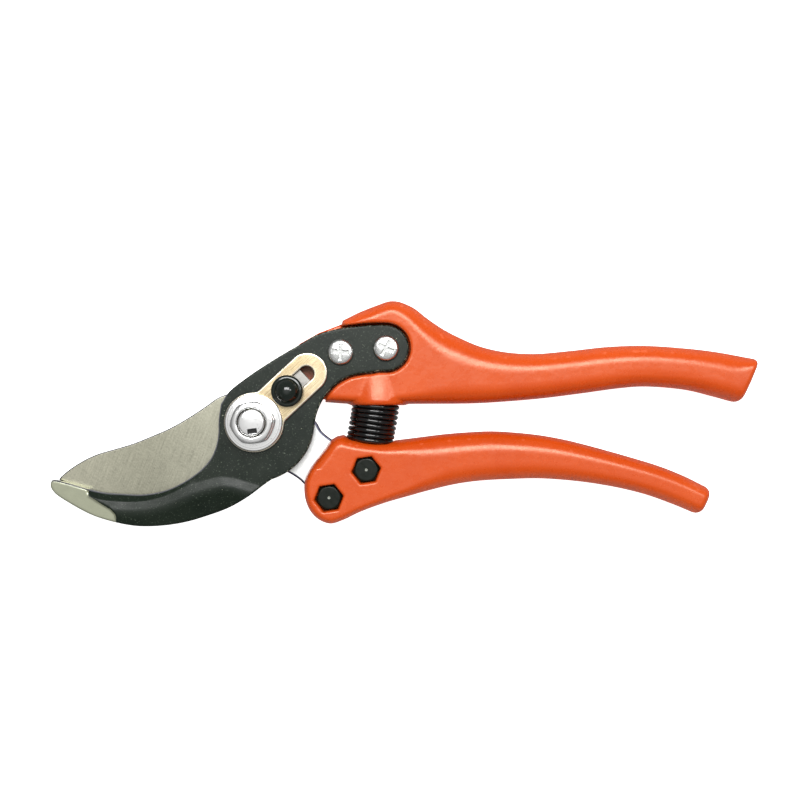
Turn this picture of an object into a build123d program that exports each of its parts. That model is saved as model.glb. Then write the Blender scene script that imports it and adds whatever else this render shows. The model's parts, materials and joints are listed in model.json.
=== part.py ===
from build123d import *
from math import cos, sin, radians
import os

# Bypass pruning shears, lying flat and closed, in millimetres.
# +X runs from the pivot to the handles, +Y from the lower to the upper handle, and +Z along
# the pivot bolt towards its nut. The origin is the middle of the bolt head's back face.
# Two bodies turn on the pivot bolt: the hook plate with the upper handle, and the blade with
# the lower handle. A sliding catch rides in a slot of the hook plate.

# ---- heights along the pivot ---------------------------------------------------------------
bolt_head_height = 3.6
spring_washer_height = 1.0
blade_thickness = 3.2
hook_thickness = 4.6
lock_plate_thickness = 1.2
slide_gap = 0.1
blade_back = bolt_head_height + spring_washer_height + slide_gap
blade_front = blade_back + blade_thickness
hook_back = blade_front + slide_gap
hook_front = hook_back + hook_thickness
lock_front = hook_front + lock_plate_thickness

# ---- pivot -----------------------------------------------------------------------------------
pivot_radius = 4.0
running_gap = 0.04
sleeve_radius = 5.2
pivot_head_flats = 13.0
pivot_head_chamfer = 0.5
nut_flats = 12.9
nut_turn = 7.0
nut_flange_radius = 8.95
nut_height = 7.8
spring_washer_radius = 8.6
washer_sheet = 0.6
washer_lift = spring_washer_height - washer_sheet
flange_edge = 1.0
flange_rise = 2.4
nut_chamfer_inset = 0.3
nut_chamfer_drop = 4.0
bolt_tip_rise = 0.7
bolt_tip_rounding = 1.2

# ---- handles ---------------------------------------------------------------------------------
handle_depth = 15.6
handle_middle = handle_depth / 2
grip_depth = 15.2
grip_rounding = 6.2
head_rounding = 2.2
pocket_gap = 0.45
tongue_back = 1.4
fit_gap = 0.05

# ---- return spring ---------------------------------------------------------------------------
wire_radius = 0.66
coil_radius = 6.2
coil_pitch = 1.5
spring_turns = 11
spring_lean = 6.5
spring_foot = (35.35, -6.9)
socket_radius = 7.35
socket_middle_x = 37.1
socket_floor = 11.3
boss_radius = 8.6
boss_top = 17.0
boss_bottom = 5.3
foot_plane = Plane(origin=(*spring_foot, handle_middle), x_dir=(1, 0, 0),
                   z_dir=(sin(radians(spring_lean)), cos(radians(spring_lean)), 0))

# ---- catch -----------------------------------------------------------------------------------
catch_angle = 43.0
catch_rest = 13.95
slot_half_width = 2.3
knob_radius = 4.85
lock_disc_radius = 9.4
lock_arm_half_width = 6.1
lock_arm_end = 22.1
lock_slot_start = 13.2
lock_slot_end = 21.7
lock_plate_rounding = 0.4
catch_washer_radius = 3.6

# ---- fasteners -------------------------------------------------------------------------------
screw_places = [(26.3, 21.4), (40.1, 22.6)]
screw_slot_angles = [-4.0, 62.0]
screw_shank_radius = 2.0
screw_head_radius = 3.95
screw_head_height = 2.3
screw_head_rounding = 1.5
bolt_places = [(34.1, -14.4), (22.8, -22.9)]
bolt_shank_radius = 2.0
bolt_flats = 7.0
bolt_pocket_flats = 7.6
bolt_head_floor = 10.3
bolt_head_rise = 3.5
bolt_head_chamfer = 0.45
bolt_nut_height = 2.6
bolt_nut_washer = 0.5
bolt_nut_floor = 3.6
bolt_turn = 8.5


def hex_radius(flats):
    """Radius to the corners of a hexagon that measures flats across."""
    return flats / 2 / cos(radians(30))


def at_catch(along, across=0.0):
    """Point of the XY plane at a distance along the catch's slot, and across it."""
    angle = radians(catch_angle)
    return (along * cos(angle) - across * sin(angle), along * sin(angle) + across * cos(angle))


def catch_plane(height):
    """Plane at a height, with its X axis along the catch's slot."""
    return Plane(origin=(0, 0, height), x_dir=(*at_catch(1.0), 0), z_dir=(0, 0, 1))


def rib_plane(low, high):
    """Plane across a grip, midway between a point of its lower and of its upper outline."""
    middle = ((low[0] + high[0]) / 2, (low[1] + high[1]) / 2, handle_middle)
    across = (high[0] - low[0], high[1] - low[1], 0)
    return Plane(origin=middle, x_dir=across, z_dir=(across[1], -across[0], 0))


def rib_height(low, high):
    """Distance between a point of a grip's lower outline and one of its upper outline."""
    return ((high[0] - low[0]) ** 2 + (high[1] - low[1]) ** 2) ** 0.5


def down_plane(height):
    """Plane across the spring's socket, facing the lower handle, with its Y axis along +Z."""
    return Plane(origin=(socket_middle_x, height, handle_middle), x_dir=(1, 0, 0),
                 z_dir=(0, -1, 0))


def finish(piece, name):
    """Label a finished piece and write it to its own STEP file."""
    piece.part.label = name
    export_step(piece.part, f"parts/{name}.step")


os.makedirs("parts", exist_ok=True)


# ---- outline of the hook plate, which the upper handle's pocket follows --------------------
tail_middle = (40.0, 22.6)
tail_radius = 7.03
tail_top = (tail_middle[0], tail_middle[1] + tail_radius)
tail_bottom = (tail_middle[0], tail_middle[1] - tail_radius)
crown = [(-10.3, 5.4), (-7.9, 9.1), (-2.6, 13.4), (4.7, 18.3), (12.0, 22.7), (19.4, 26.75),
         (27.3, 28.8), tail_top]
throat = [tail_bottom, (32.2, 14.8), (26.7, 12.9), (22.9, 9.7), (19.5, 4.4), (18.1, -0.6)]
belly = [(5.6, -17.2), (-4.5, -24.4), (-13.6, -28.3), (-21.0, -30.5), (-28.3, -31.6),
         (-35.7, -31.7), (-42.1, -30.7), (-49.2, -28.5), (-56.6, -24.65), (-61.6, -21.2)]
bite = [(-61.9, -17.7), (-55.8, -19.0), (-50.9, -20.4), (-46.1, -21.5), (-40.7, -22.0),
        (-34.4, -22.1), (-29.0, -21.3), (-24.7, -19.8), (-19.6, -17.0), (-16.1, -14.3),
        (-13.4, -11.2), (-11.8, -7.7), (-11.0, -3.8), (-10.9, 0.5), (-10.3, 5.4)]
heel_bulge = (14.2, -11.2)
hook_tip = (-62.4, -19.2)
with BuildSketch() as hook_outline:
    with BuildLine():
        Spline(crown, tangents=[(0.35, 1.0), (1.0, 0.0)])
        ThreePointArc(tail_top, (tail_middle[0] + tail_radius, tail_middle[1]), tail_bottom)
        Spline(throat, tangents=[(-1.0, 0.0), (0.0, -1.0)])
        ThreePointArc(throat[-1], heel_bulge, belly[0])
        Spline(belly, tangents=[(-0.82, -0.5), (-0.8, 0.6)])
        ThreePointArc(belly[-1], hook_tip, bite[0])
        Spline(bite)
    make_face()


# ---- hook plate ------------------------------------------------------------------------------
hook_slot_start = 11.0
hook_slot_end = 27.2
hook_slot_rounding = 1.0
hook_bevel_height = 2.2
hook_bevel_width = 4.6
belly_length = 60.0
belly_top = -24.0
with BuildPart() as hook_plate:
    with BuildSketch(Plane.XY.offset(hook_back)):
        add(hook_outline.sketch)
        Circle(pivot_radius + running_gap, mode=Mode.SUBTRACT)
        with Locations(*screw_places):
            Circle(screw_shank_radius + running_gap, mode=Mode.SUBTRACT)
    extrude(amount=hook_thickness)
    front_edges = hook_plate.edges().group_by(Axis.Z)[-1]
    belly_edge = front_edges.filter_by(lambda e: e.length > belly_length and e.center().Y < belly_top)
    chamfer(belly_edge, length=hook_bevel_height, length2=hook_bevel_width)
    with BuildSketch(catch_plane(hook_back)):
        with Locations(((hook_slot_start + hook_slot_end) / 2, 0)):
            RectangleRounded(hook_slot_end - hook_slot_start, 2 * slot_half_width,
                             hook_slot_rounding)
    extrude(amount=hook_thickness, mode=Mode.SUBTRACT)
finish(hook_plate, "hook_plate")


# ---- blade -----------------------------------------------------------------------------------
heel_radius = 11.7
edge_grind_width = 6.0
edge_grind_height = 2.7
heel_start_angle = 128.0
heel_middle_angle = 76.0
heel_end_angle = 24.0
notch_depth = 4.4
notch_width = 5.0
edge_length = 40.0
edge_top = -15.0


def on_heel(angle):
    """Point of the blade's round heel at an angle from +X."""
    return (heel_radius * cos(radians(angle)), heel_radius * sin(radians(angle)))


with BuildPart() as blade:
    spine = [(-60.9, -17.6), (-59.5, -16.3), (-55.8, -13.5), (-48.5, -9.8), (-37.5, -6.5),
             (-26.5, -1.9), (-15.5, 4.8), on_heel(heel_start_angle)]
    cutting_edge = [(-6.5, -9.8), (-12.0, -14.2), (-17.5, -18.3), (-24.0, -21.6),
                    (-30.5, -23.3), (-37.0, -23.8), (-43.5, -23.2), (-50.0, -21.9),
                    (-56.0, -19.9), (-60.9, -17.6)]
    neck = [on_heel(heel_end_angle), (18.4, 0.0), (20.1, -2.8), (22.6, -5.3), (27.3, -8.9)]
    tang = [(27.3, -8.9), (34.5, -9.8), (38.3, -13.0), (37.6, -17.0), (25.6, -26.6),
            (21.0, -27.3), (18.2, -24.2), (17.2, -21.0), (13.5, -17.7), (8.5, -14.6),
            (-6.5, -9.8)]
    with BuildSketch(Plane.XY.offset(blade_back)):
        with BuildLine():
            Spline(spine)
            ThreePointArc(spine[-1], on_heel(heel_middle_angle), neck[0])
            Polyline(neck)
            Polyline(tang)
            Spline(cutting_edge)
        make_face()
        Circle(sleeve_radius + running_gap, mode=Mode.SUBTRACT)
        with Locations(*bolt_places):
            Circle(bolt_shank_radius + running_gap, mode=Mode.SUBTRACT)
    extrude(amount=blade_thickness)
    back_edges = blade.edges().group_by(Axis.Z)[0]
    ground_edge = back_edges.filter_by(lambda e: e.length > edge_length and e.center().Y < edge_top)
    chamfer(ground_edge, length=edge_grind_height, length2=edge_grind_width)
    with BuildSketch(catch_plane(blade_back)):
        with Locations((heel_radius, 0)):
            Rectangle(notch_depth, notch_width)
    extrude(amount=blade_thickness, mode=Mode.SUBTRACT)
finish(blade, "blade")


# ---- upper handle ----------------------------------------------------------------------------
# The head is a rounded slab with a pocket for the hook plate, a tongue that reaches under the
# plate and a boss with the spring's socket. The grip is lofted through rounded ribs.
upper_head_top = [(27.2, 31.2), (37.7, 36.0), (42.5, 37.2), (48.7, 35.1), (57.9, 28.4)]
upper_head_bottom = [(57.9, 5.6), (47.0, 5.6), (37.0, 5.3), (28.9, 5.6), (21.4, 6.0)]
upper_head_nose = [(21.4, 6.0), (22.0, 16.0), (27.2, 31.2)]
upper_ribs = [((50.0, 7.0), (50.0, 32.0), 3.6), ((57.7, 5.9), (57.7, 28.1), 3.8),
              ((66.0, 5.7), (66.0, 24.4), 4.6),
              ((78.0, 6.4), (78.0, 21.6), grip_rounding), ((92.0, 7.7), (92.0, 21.4), grip_rounding),
              ((106.0, 9.5), (106.0, 23.0), grip_rounding),
              ((119.0, 10.8), (119.0, 23.5), 6.0),
              ((132.0, 9.9), (132.0, 22.8), grip_rounding),
              ((141.0, 7.8), (144.0, 21.1), grip_rounding),
              ((147.4, 6.4), (153.1, 18.6), grip_rounding)]
head_rim_start = 28.0
head_rim_end = 57.0
pocket_left = 5.0
pocket_top = 20.0
pocket_radius = tail_radius + pocket_gap
pocket_crown = [(11.8, 23.1), (19.1, 27.35), (27.2, 29.5),
                (tail_middle[0], tail_middle[1] + pocket_radius)]
pocket_throat = [(tail_middle[0], tail_middle[1] - pocket_radius), (32.2, 14.35), (26.9, 12.35),
                 (23.3, 9.3), (19.95, 4.2)]
tongue_outline = [(29.0, 31.0), (19.3, 27.6), (13.2, 24.0), (12.9, 17.0), (13.6, 9.2),
                  (20.0, 6.9), (29.0, 8.0)]
tongue_relief_end = 20.2
tongue_relief_width = 5.4
grip_end_rounding = 1.6
screw_depth = 1.8
with BuildPart() as upper_grip:
    for low, high, rounding in upper_ribs:
        with BuildSketch(rib_plane(low, high)):
            RectangleRounded(rib_height(low, high), grip_depth, rounding)
    loft()
    fillet(upper_grip.faces().sort_by(Axis.X)[-1].edges(), radius=grip_end_rounding)

with BuildPart() as upper_handle:
    with BuildSketch():
        with BuildLine():
            Spline(upper_head_top)
            Line(upper_head_top[-1], upper_head_bottom[0])
            Spline(upper_head_bottom)
            Polyline(upper_head_nose)
        make_face()
    extrude(amount=handle_depth)
    rims = upper_handle.edges().group_by(Axis.Z)
    head_rims = (rims[0] + rims[-1]).filter_by(lambda e: head_rim_start < e.center().X < head_rim_end)
    fillet(head_rims, radius=head_rounding)
    add(upper_grip.part)
    with BuildSketch(Plane.XY.offset(tongue_back)):
        with BuildLine():
            Polyline(tongue_outline, close=True)
        make_face()
    extrude(amount=hook_back - fit_gap - tongue_back)
    with BuildSketch(down_plane(boss_top)):
        Circle(boss_radius)
        with Locations((0, -handle_middle - boss_radius)):
            Rectangle(4 * boss_radius, 2 * boss_radius, mode=Mode.SUBTRACT)
    extrude(amount=boss_top - boss_bottom)
    with BuildSketch(Plane.XY.offset(hook_back - fit_gap)):
        with BuildLine():
            Polyline(pocket_throat[-1], (pocket_left, 0), (pocket_left, pocket_top), pocket_crown[0])
            Spline(pocket_crown, tangents=[(0.87, 0.5), (1.0, 0.0)])
            ThreePointArc(pocket_crown[-1], (tail_middle[0] + pocket_radius, tail_middle[1]),
                          pocket_throat[0])
            Spline(pocket_throat, tangents=[(-1.0, 0.0), (-0.2, -1.0)])
        make_face()
    extrude(amount=handle_depth, mode=Mode.SUBTRACT)
    with BuildSketch(down_plane(socket_floor)):
        Circle(socket_radius)
    extrude(amount=socket_floor, mode=Mode.SUBTRACT)
    with BuildSketch(catch_plane(tongue_back)):
        with Locations((tongue_relief_end / 2, 0)):
            Rectangle(tongue_relief_end, tongue_relief_width)
    extrude(amount=hook_back, mode=Mode.SUBTRACT)
    with BuildSketch(Plane.XY.offset(screw_depth)):
        with Locations(*screw_places):
            Circle(screw_shank_radius + running_gap)
    extrude(amount=handle_depth, mode=Mode.SUBTRACT)
finish(upper_handle, "upper_handle")


# ---- lower handle ----------------------------------------------------------------------------
# The nose grips the blade's tang in a slot, with two hexagonal pockets in front, two more at
# the back for the nuts, and a round seat with a peg for the foot of the return spring.
lower_nose = [(25.6, -4.1), (21.4, -8.7), (16.8, -15.0), (15.5, -20.9), (17.5, -27.2),
              (23.1, -30.8), (32.2, -27.4), (39.6, -24.8), (48.0, -22.4)]
lower_crest = [(48.0, -4.9), (39.6, -5.9), (32.0, -5.3), (25.6, -4.1)]
lower_ribs = [((40.0, -23.2), (40.0, -7.2), 3.6), ((47.8, -22.2), (47.8, -5.2), 3.8),
              ((57.0, -20.1), (57.0, -3.8), 4.6),
              ((68.9, -18.0), (68.9, -2.9), grip_rounding),
              ((82.0, -17.3), (82.0, -3.3), grip_rounding),
              ((95.0, -17.8), (96.0, -5.5), 5.8), ((108.5, -19.6), (110.5, -9.4), 4.8),
              ((119.6, -22.2), (123.0, -13.3), 4.3), ((128.4, -25.4), (132.0, -16.5), 4.2),
              ((136.0, -27.8), (139.0, -20.6), 3.4)]
tang_slot = [(10.0, -6.0), (22.8, -4.2), (27.3, -8.0), (36.0, -9.0), (39.6, -13.0),
             (38.8, -17.6), (25.8, -28.2), (19.5, -30.5), (12.0, -27.0)]
nose_rim_end = 47.0
seat_radius = 7.1
seat_depth = 1.0
peg_radius = 4.4
peg_height = 3.4
with BuildPart() as lower_grip:
    for low, high, rounding in lower_ribs:
        with BuildSketch(rib_plane(low, high)):
            RectangleRounded(rib_height(low, high), grip_depth, rounding)
    loft()
    fillet(lower_grip.faces().sort_by(Axis.X)[-1].edges(), radius=grip_end_rounding)

with BuildPart() as lower_handle:
    with BuildSketch():
        with BuildLine():
            Spline(lower_nose)
            Line(lower_nose[-1], lower_crest[0])
            Spline(lower_crest)
        make_face()
    extrude(amount=handle_depth)
    rims = lower_handle.edges().group_by(Axis.Z)
    head_rims = (rims[0] + rims[-1]).filter_by(lambda e: e.center().X < nose_rim_end)
    fillet(head_rims, radius=head_rounding)
    add(lower_grip.part)
    with BuildSketch(Plane.XY.offset(blade_back - fit_gap)):
        with BuildLine():
            Polyline(tang_slot, close=True)
        make_face()
    extrude(amount=blade_thickness + 2 * fit_gap, mode=Mode.SUBTRACT)
    with BuildSketch():
        with Locations(*bolt_places):
            Circle(bolt_shank_radius + running_gap)
    extrude(amount=handle_depth, mode=Mode.SUBTRACT)
    with BuildSketch(Plane.XY.offset(bolt_head_floor)):
        with Locations(*bolt_places):
            RegularPolygon(hex_radius(bolt_pocket_flats), 6, rotation=bolt_turn)
    extrude(amount=handle_depth, mode=Mode.SUBTRACT)
    with BuildSketch():
        with Locations(*bolt_places):
            RegularPolygon(hex_radius(bolt_pocket_flats), 6, rotation=bolt_turn)
    extrude(amount=bolt_nut_floor, mode=Mode.SUBTRACT)
    with BuildSketch(foot_plane):
        Circle(seat_radius)
        Circle(peg_radius, mode=Mode.SUBTRACT)
    extrude(amount=seat_radius, mode=Mode.SUBTRACT)
    with BuildSketch(foot_plane.offset(-seat_depth)):
        Circle(peg_radius)
    extrude(amount=peg_height + seat_depth)
finish(lower_handle, "lower_handle")


# ---- return spring: a closed coil between the two handles ------------------------------------
with BuildPart() as return_spring:
    start_plane = foot_plane.offset(wire_radius + fit_gap)
    with BuildLine() as coil:
        Helix(coil_pitch, spring_turns * coil_pitch, coil_radius,
              center=start_plane.origin, direction=start_plane.z_dir)
    with BuildSketch(Plane(coil.line @ 0, z_dir=coil.line % 0)):
        Circle(wire_radius)
    sweep(path=coil.line, is_frenet=True)
finish(return_spring, "return_spring")


# ---- pivot: bolt, sleeve, spring washer and flanged nut --------------------------------------
pivot_end = lock_front + nut_height + bolt_tip_rise
with BuildPart() as pivot_bolt:
    with BuildSketch():
        RegularPolygon(hex_radius(pivot_head_flats), 6)
    extrude(amount=bolt_head_height)
    chamfer(pivot_bolt.faces().sort_by(Axis.Z)[0].edges(), length=pivot_head_chamfer)
    with BuildSketch():
        Circle(pivot_radius)
    extrude(amount=pivot_end)
    fillet(pivot_bolt.faces().sort_by(Axis.Z)[-1].edges(), radius=bolt_tip_rounding)
finish(pivot_bolt, "pivot_bolt")

with BuildPart() as pivot_sleeve:
    with BuildSketch(Plane.XY.offset(blade_back)):
        Circle(sleeve_radius)
        Circle(pivot_radius + fit_gap, mode=Mode.SUBTRACT)
    extrude(amount=blade_thickness)
finish(pivot_sleeve, "pivot_sleeve")

with BuildPart() as pivot_washer:
    with BuildSketch(Plane.XZ):
        with BuildLine():
            Polyline((pivot_radius + fit_gap, bolt_head_height),
                     (pivot_radius + fit_gap, bolt_head_height + washer_sheet),
                     (spring_washer_radius, bolt_head_height + spring_washer_height),
                     (spring_washer_radius, bolt_head_height + washer_lift),
                     close=True)
        make_face()
    revolve(axis=Axis.Z)
finish(pivot_washer, "pivot_washer")

with BuildPart() as pivot_nut:
    with BuildSketch(Plane.XZ):
        with BuildLine():
            Polyline((pivot_radius + fit_gap, lock_front), (nut_flange_radius, lock_front),
                     (nut_flange_radius, lock_front + flange_edge),
                     (nut_flats / 2, lock_front + flange_rise),
                     (pivot_radius + fit_gap, lock_front + flange_rise), close=True)
        make_face()
    revolve(axis=Axis.Z)
    with BuildSketch(Plane.XY.offset(lock_front)):
        RegularPolygon(hex_radius(nut_flats), 6, rotation=nut_turn)
        Circle(pivot_radius + fit_gap, mode=Mode.SUBTRACT)
    extrude(amount=nut_height)
    with BuildSketch(Plane.XZ):
        with BuildLine():
            Polyline((nut_flats / 2 - nut_chamfer_inset, lock_front + nut_height),
                     (nut_flats, lock_front + nut_height),
                     (nut_flats, lock_front + nut_height - nut_chamfer_drop), close=True)
        make_face()
    revolve(axis=Axis.Z, mode=Mode.SUBTRACT)
finish(pivot_nut, "pivot_nut")


# ---- catch: lock plate, slider with its tooth and stem, knob and washer ----------------------
lock_edge_length = 8.0
with BuildPart() as lock_plate:
    with BuildSketch(catch_plane(hook_front)):
        Circle(lock_disc_radius)
        with Locations((lock_arm_end / 2, 0)):
            Rectangle(lock_arm_end, 2 * lock_arm_half_width)
        with Locations((lock_arm_end, 0)):
            Circle(lock_arm_half_width)
        Circle(pivot_radius + fit_gap, mode=Mode.SUBTRACT)
        with Locations(((lock_slot_start + lock_slot_end) / 2, 0)):
            SlotCenterToCenter(lock_slot_end - lock_slot_start, 2 * slot_half_width,
                               mode=Mode.SUBTRACT)
    extrude(amount=lock_plate_thickness)
    front_edges = lock_plate.faces().sort_by(Axis.Z)[-1].edges()
    fillet(front_edges.filter_by(lambda e: e.length > lock_edge_length), radius=lock_plate_rounding)
finish(lock_plate, "lock_plate")

slider_start = 11.6
slider_end = 21.0
slider_gap = 0.1
tooth_start = 12.0
tooth_end = 14.2
tooth_gap = 0.3
stem_radius = 2.05
knob_lift = 1.2
knob_disc_height = 1.9
knob_dome_radius = 3.25
knob_dome_height = 2.8
knob_chamfer = 0.5
knob_rounding = 1.6
knob_back = lock_front + knob_lift
with BuildPart() as catch_slider:
    with BuildSketch(catch_plane(hook_back + slider_gap)):
        with Locations(((slider_start + slider_end) / 2, 0)):
            Rectangle(slider_end - slider_start, 2 * (slot_half_width - slider_gap))
    extrude(amount=hook_thickness - 2 * slider_gap)
    with BuildSketch(catch_plane(blade_back + tooth_gap)):
        with Locations(((tooth_start + tooth_end) / 2, 0)):
            Rectangle(tooth_end - tooth_start, 2 * (slot_half_width - slider_gap))
    extrude(amount=hook_thickness)
    with BuildSketch(catch_plane(hook_front - slider_gap)):
        with Locations((catch_rest, 0)):
            Circle(stem_radius)
    extrude(amount=slider_gap + lock_plate_thickness + knob_lift + knob_disc_height)
finish(catch_slider, "catch_slider")

with BuildPart() as catch_knob:
    with BuildSketch(catch_plane(knob_back)):
        with Locations((catch_rest, 0)):
            Circle(knob_radius)
    extrude(amount=knob_disc_height)
    chamfer(catch_knob.faces().sort_by(Axis.Z)[-1].edges(), length=knob_chamfer)
    with BuildSketch(catch_plane(knob_back + knob_disc_height)):
        with Locations((catch_rest, 0)):
            Circle(knob_dome_radius)
    extrude(amount=knob_dome_height)
    fillet(catch_knob.faces().sort_by(Axis.Z)[-1].edges(), radius=knob_rounding)
    with BuildSketch(catch_plane(knob_back)):
        with Locations((catch_rest, 0)):
            Circle(stem_radius)
    extrude(amount=knob_disc_height, mode=Mode.SUBTRACT)
finish(catch_knob, "catch_knob")

with BuildPart() as catch_washer:
    with BuildSketch(catch_plane(lock_front + fit_gap)):
        with Locations((catch_rest, 0)):
            Circle(catch_washer_radius)
            Circle(stem_radius + fit_gap, mode=Mode.SUBTRACT)
    extrude(amount=knob_lift - fit_gap)
finish(catch_washer, "catch_washer")


# ---- two pan head screws through the hook plate into the upper handle ------------------------
drive_length = 3 * screw_head_radius
drive_width = 0.9
drive_depth = 0.8
cross_length = 4.2
with BuildPart() as upper_handle_screws:
    with BuildSketch(Plane.XY.offset(hook_front)):
        with Locations(*screw_places):
            Circle(screw_head_radius)
    extrude(amount=screw_head_height)
    head_rims = upper_handle_screws.edges().group_by(Axis.Z)[-1]
    fillet(head_rims, radius=screw_head_rounding)
    for place, angle in zip(screw_places, screw_slot_angles):
        with BuildSketch(Plane.XY.offset(hook_front + screw_head_height - drive_depth)):
            with Locations(Location((*place, 0), (0, 0, angle))):
                Rectangle(drive_length, drive_width)
                Rectangle(drive_width, cross_length)
        extrude(amount=screw_head_height, mode=Mode.SUBTRACT)
    with BuildSketch(Plane.XY.offset(screw_depth + fit_gap)):
        with Locations(*screw_places):
            Circle(screw_shank_radius)
    extrude(amount=hook_front - screw_depth)
finish(upper_handle_screws, "upper_handle_screws")


# ---- two hexagon bolts, their washers and nuts through the lower handle and the tang ---------
bolt_end = bolt_nut_floor - bolt_nut_washer - bolt_nut_height
with BuildPart() as lower_handle_bolts:
    with BuildSketch(Plane.XY.offset(bolt_head_floor)):
        with Locations(*bolt_places):
            RegularPolygon(hex_radius(bolt_flats), 6, rotation=bolt_turn)
    extrude(amount=bolt_head_rise)
    chamfer(lower_handle_bolts.edges().group_by(Axis.Z)[-1], length=bolt_head_chamfer)
    with BuildSketch(Plane.XY.offset(bolt_end)):
        with Locations(*bolt_places):
            Circle(bolt_shank_radius)
    extrude(amount=bolt_head_floor - bolt_end)
finish(lower_handle_bolts, "lower_handle_bolts")

with BuildPart() as lower_handle_washers:
    with BuildSketch(Plane.XY.offset(bolt_nut_floor - bolt_nut_washer)):
        with Locations(*bolt_places):
            Circle(bolt_flats / 2)
            Circle(bolt_shank_radius + running_gap, mode=Mode.SUBTRACT)
    extrude(amount=bolt_nut_washer)
finish(lower_handle_washers, "lower_handle_washers")

with BuildPart() as lower_handle_nuts:
    with BuildSketch(Plane.XY.offset(bolt_end)):
        with Locations(*bolt_places):
            RegularPolygon(hex_radius(bolt_flats), 6, rotation=bolt_turn)
            Circle(bolt_shank_radius + running_gap, mode=Mode.SUBTRACT)
    extrude(amount=bolt_nut_height)
finish(lower_handle_nuts, "lower_handle_nuts")
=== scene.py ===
import json
import math
import bpy
import numpy as np
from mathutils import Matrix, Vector


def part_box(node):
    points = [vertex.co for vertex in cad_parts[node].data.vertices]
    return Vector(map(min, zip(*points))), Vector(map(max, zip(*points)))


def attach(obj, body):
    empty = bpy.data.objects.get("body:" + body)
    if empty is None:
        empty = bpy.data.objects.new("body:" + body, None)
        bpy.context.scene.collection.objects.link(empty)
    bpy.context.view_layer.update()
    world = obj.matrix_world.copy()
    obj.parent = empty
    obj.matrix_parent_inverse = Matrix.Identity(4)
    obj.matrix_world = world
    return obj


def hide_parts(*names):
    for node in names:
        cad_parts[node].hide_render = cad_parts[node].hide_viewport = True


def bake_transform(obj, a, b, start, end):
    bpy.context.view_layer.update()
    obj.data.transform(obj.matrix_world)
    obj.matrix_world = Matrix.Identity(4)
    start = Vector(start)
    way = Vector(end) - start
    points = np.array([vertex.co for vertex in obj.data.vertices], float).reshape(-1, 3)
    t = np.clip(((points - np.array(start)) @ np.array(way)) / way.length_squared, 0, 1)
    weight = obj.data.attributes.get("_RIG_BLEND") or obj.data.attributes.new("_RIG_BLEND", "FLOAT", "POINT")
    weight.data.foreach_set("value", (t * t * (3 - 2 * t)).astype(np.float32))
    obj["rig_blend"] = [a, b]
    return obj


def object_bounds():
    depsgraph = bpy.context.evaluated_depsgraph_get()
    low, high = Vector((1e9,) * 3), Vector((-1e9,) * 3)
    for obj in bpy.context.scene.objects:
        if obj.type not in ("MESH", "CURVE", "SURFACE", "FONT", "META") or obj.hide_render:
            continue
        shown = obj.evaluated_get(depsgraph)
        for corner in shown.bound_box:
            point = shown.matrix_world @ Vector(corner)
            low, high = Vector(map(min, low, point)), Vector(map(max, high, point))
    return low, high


# Bypass pruning shears. Each visible piece is a surface drawn from a distance field in
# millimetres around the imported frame, with its own procedural finish.
# A field is negative inside a piece. Lengths are in millimetres until a mesh is made.

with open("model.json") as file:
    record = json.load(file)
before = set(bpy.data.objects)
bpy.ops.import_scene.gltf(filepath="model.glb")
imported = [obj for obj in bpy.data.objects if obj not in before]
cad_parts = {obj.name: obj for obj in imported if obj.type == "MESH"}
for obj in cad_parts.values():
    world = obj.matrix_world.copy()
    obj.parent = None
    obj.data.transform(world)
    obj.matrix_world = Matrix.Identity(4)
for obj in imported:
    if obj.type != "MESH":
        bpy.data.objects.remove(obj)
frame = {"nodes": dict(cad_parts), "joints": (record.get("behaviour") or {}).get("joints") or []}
cad_low, cad_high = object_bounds()
MM = 0.001


# ---- places that come from the frame -------------------------------------------------------
def levels(node):
    """Lowest and highest height of a CAD node."""
    low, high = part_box(node)
    return low.z / MM, high.z / MM


def middle(node):
    """Middle of a CAD node, seen from above."""
    low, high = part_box(node)
    return (low.x + high.x) / 2 / MM, (low.y + high.y) / 2 / MM


def pair_middles(node):
    """Middles of two like fasteners that share a CAD node, left one first."""
    points = np.array([v.co[:2] for v in frame["nodes"][node].data.vertices]) / MM
    split = (points[:, 0].min() + points[:, 0].max()) / 2
    halves = (points[points[:, 0] < split], points[points[:, 0] > split])
    return [tuple((half.min(0) + half.max(0)) / 2) for half in halves]


handle_front = levels("lower_handle")[1]
blade_back, blade_front = levels("blade")
hook_back, hook_front = levels("hook_plate")
lock_back, lock_front = levels("lock_plate")
nut_back, nut_front = levels("pivot_nut")
bolt_front = levels("pivot_bolt")[1]
knob_back, knob_front = levels("catch_knob")
screw_places = pair_middles("upper_handle_screws")
bolt_places = pair_middles("lower_handle_washers")
knob_place = middle("catch_knob")
slide = next(joint["axis"] for joint in frame["joints"] if joint["name"] == "catch_slide")
slide_angle = math.atan2(slide[1], slide[0])
handle_middle = handle_front / 2

# ---- fits shared by several pieces ---------------------------------------------------------
pivot_radius = 4.0
fit_gap = 0.05
slot_half_width = 2.3


# ---- distance fields -----------------------------------------------------------------------
def all_of(*fields):
    """What several fields share."""
    shared = fields[0]
    for field in fields[1:]:
        shared = np.maximum(shared, field)
    return shared


def fillet_and(a, b, radius):
    """What two fields share, with its edge rounded to a radius."""
    corner = np.sqrt(np.maximum(a + radius, 0) ** 2 + np.maximum(b + radius, 0) ** 2)
    return np.minimum(np.maximum(a, b), -radius) + corner


def fillet_or(a, b, radius):
    """Two fields joined, with a hollow fillet of a radius between them."""
    return -fillet_and(-a, -b, radius)


def fillet_cut(a, b, radius):
    """The first field with the second cut out of it, and the cut's edge rounded."""
    return fillet_and(a, -b, radius)


def slab(z, low, high):
    """The layer between two heights."""
    return np.abs(z - (low + high) / 2) - (high - low) / 2


def disc(x, y, place, radius):
    """A round column along Z."""
    return np.hypot(x - place[0], y - place[1]) - radius


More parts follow.
